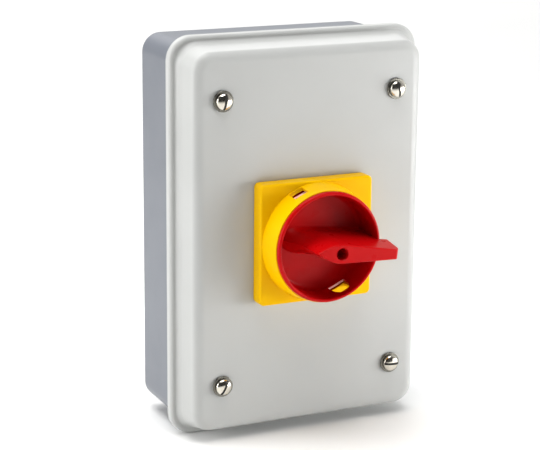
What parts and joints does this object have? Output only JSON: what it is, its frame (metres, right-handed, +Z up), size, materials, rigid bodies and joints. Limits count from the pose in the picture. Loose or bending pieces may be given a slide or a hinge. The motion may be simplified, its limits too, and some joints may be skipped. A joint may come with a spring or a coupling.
{
  "type": "enclosed rotary isolator switch",
  "caption": "Wall-mounted rotary isolator switch in a grey box with a lift-off cover, yellow padlock collar and red rotary handle; internal rotary contact stack on a rail.",
  "frame": {"origin": "on the box's back face, where the handle's axis meets the wall", "axes": "+Y into the wall (the handle faces -Y), +Z up, +X to the right of someone facing the switch"},
  "size_m": [0.133, 0.1001, 0.199],
  "materials": {
    "grey_moulding": "satin mid-grey moulding",
    "light_grey_moulding": "satin light-grey moulding",
    "yellow_moulding": "satin yellow moulding",
    "red_moulding": "glossy red moulding",
    "black_rubber": "matt black seal rubber",
    "nickel_plated_steel": "bright nickel plate",
    "zinc_plated_steel": "zinc plate",
    "brass": "plain brass",
    "silvered_copper": "silver-plated copper",
    "dark_thermoset": "matt dark thermoset moulding",
    "white_nylon": "natural white nylon",
    "spring_steel": "drawn spring wire"
  },
  "bodies": {
    "enclosure": {"base_box": "grey_moulding", "entry_plug_left": "dark_thermoset", "entry_plug_right": "dark_thermoset", "din_rail": "zinc_plated_steel", "rail_screw_left": "zinc_plated_steel", "rail_screw_right": "zinc_plated_steel", "switch_base": "dark_thermoset", "contact_deck_1": "dark_thermoset", "contact_deck_2": "dark_thermoset", "contact_deck_3": "dark_thermoset", "line_terminal_1": "brass", "line_screw_1": "zinc_plated_steel", "line_terminal_2": "brass", "line_screw_2": "zinc_plated_steel", "line_terminal_3": "brass", "line_screw_3": "zinc_plated_steel", "load_terminal_1": "brass", "load_screw_1": "zinc_plated_steel", "load_terminal_2": "brass", "load_screw_2": "zinc_plated_steel", "load_terminal_3": "brass", "load_screw_3": "zinc_plated_steel", "latch_housing": "dark_thermoset", "latch_cap": "dark_thermoset", "tie_screw_left": "zinc_plated_steel", "tie_screw_right": "zinc_plated_steel", "latch_spring_upper": "spring_steel", "latch_spring_lower": "spring_steel", "earth_bar": "brass", "earth_screw_left": "zinc_plated_steel", "earth_screw_right": "zinc_plated_steel"},
    "rotor": {"drive_shaft": "zinc_plated_steel", "star_wheel": "white_nylon", "rotor_1": "white_nylon", "rotor_2": "white_nylon", "rotor_3": "white_nylon", "moving_contact_1": "silvered_copper", "moving_contact_2": "silvered_copper", "moving_contact_3": "silvered_copper"},
    "plunger_upper": {"latch_plunger_upper": "white_nylon"},
    "plunger_lower": {"latch_plunger_lower": "white_nylon"},
    "cover": {"cover": "light_grey_moulding", "cover_gasket": "black_rubber", "cover_screw_tl": "nickel_plated_steel", "cover_screw_tr": "nickel_plated_steel", "cover_screw_bl": "nickel_plated_steel", "cover_screw_br": "nickel_plated_steel", "screw_washer_tl": "nickel_plated_steel", "screw_washer_tr": "nickel_plated_steel", "screw_washer_bl": "nickel_plated_steel", "screw_washer_br": "nickel_plated_steel", "front_plate": "yellow_moulding", "plate_gasket": "black_rubber", "plate_screw_left": "zinc_plated_steel", "plate_screw_right": "zinc_plated_steel", "hub_seal": "black_rubber"},
    "handle": {"handle": "red_moulding", "handle_screw": "zinc_plated_steel"}
  },
  "joints": [
    {"name": "cover_lift", "type": "slide", "parent": "enclosure", "child": "cover", "axis": [0, -1, 0], "range_m": [0, 0.06]},
    {"name": "handle_turn", "type": "hinge", "parent": "cover", "child": "handle", "pos_m": [0, -0.071, 0], "axis": [0, -1, 0], "range_deg": [0, 90]},
    {"name": "rotor_turn", "type": "hinge", "parent": "enclosure", "child": "rotor", "pos_m": [0, -0.04, 0], "axis": [0, -1, 0], "range_deg": [0, 90]},
    {"name": "plunger_upper_slide", "type": "slide", "parent": "enclosure", "child": "plunger_upper", "axis": [0, 0, 1], "range_m": [0, 0.0014], "stiffness_N_per_m": 400, "springref_m": -0.002, "deforming": ["latch_spring_upper"]},
    {"name": "plunger_lower_slide", "type": "slide", "parent": "enclosure", "child": "plunger_lower", "axis": [0, 0, -1], "range_m": [0, 0.0014], "stiffness_N_per_m": 400, "springref_m": -0.002, "deforming": ["latch_spring_lower"]}
  ],
  "couplings": [
    {"joint": "rotor_turn", "follows": "handle_turn", "ratio": 1}
  ]
}
